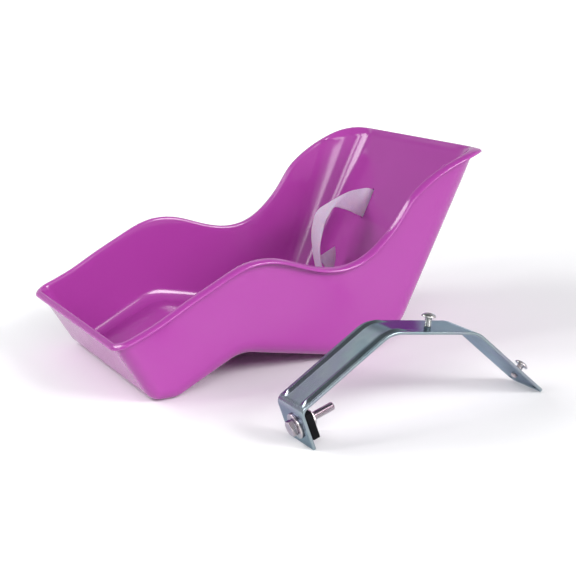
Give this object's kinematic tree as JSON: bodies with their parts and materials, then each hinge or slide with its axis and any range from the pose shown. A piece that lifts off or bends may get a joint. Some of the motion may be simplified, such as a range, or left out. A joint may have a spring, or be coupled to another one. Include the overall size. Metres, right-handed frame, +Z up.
{
  "type": "doll bicycle seat with mounting bracket",
  "caption": "Moulded plastic doll seat with a footwell and a waist strap, and the bent steel bracket with clamp and screws that hangs it on a bicycle.",
  "frame": {"origin": "on the flat bottom of the footwell, in the seat's plane of symmetry", "axes": "+X from the footwell to the backrest, +Z up, the seat's plane of symmetry is parallel to XZ"},
  "size_m": [0.3225, 0.3455, 0.1482],
  "materials": {
    "purple_plastic": "glossy moulded, slightly see-through magenta purple",
    "white_webbing": "soft woven white",
    "zinc_steel": "bright bluish zinc plate",
    "black_plastic": "matt black"
  },
  "bodies": {
    "seat": {"seat_shell": "purple_plastic", "waist_strap": "white_webbing"},
    "bracket": {"mounting_bracket": "zinc_steel"},
    "bolt": {"clamp_bolt": "zinc_steel", "clamp_washer": "zinc_steel"},
    "block": {"clamp_block": "black_plastic", "clamp_nut": "zinc_steel"},
    "screw_top": {"seat_screw_top": "zinc_steel"},
    "screw_end": {"seat_screw_end": "zinc_steel"}
  },
  "joints": [
    {"name": "bracket_lift", "type": "slide", "parent": "seat", "child": "bracket", "axis": [0, 0, 1], "range_m": [0, 0.12]},
    {"name": "bolt_turn", "type": "hinge", "parent": "bracket", "child": "bolt", "pos_m": [0.03904, -0.22392, 0.01237], "axis": [-0.9634, 0, -0.268], "range_deg": [0, 3600]},
    {"name": "block_travel", "type": "slide", "parent": "bracket", "child": "block", "axis": [0.9634, 0, 0.268], "range_m": [0, 0.0101]},
    {"name": "screw_top_travel", "type": "slide", "parent": "bracket", "child": "screw_top", "axis": [0.1927, 0, 0.9813], "range_m": [-0.0062, 0.0035]},
    {"name": "screw_end_travel", "type": "slide", "parent": "bracket", "child": "screw_end", "axis": [0.7091, 0, 0.7051], "range_m": [-0.0062, 0.0035]}
  ],
  "couplings": [
    {"joint": "block_travel", "follows": "bolt_turn", "m_per_rad": 0.00015915}
  ]
}
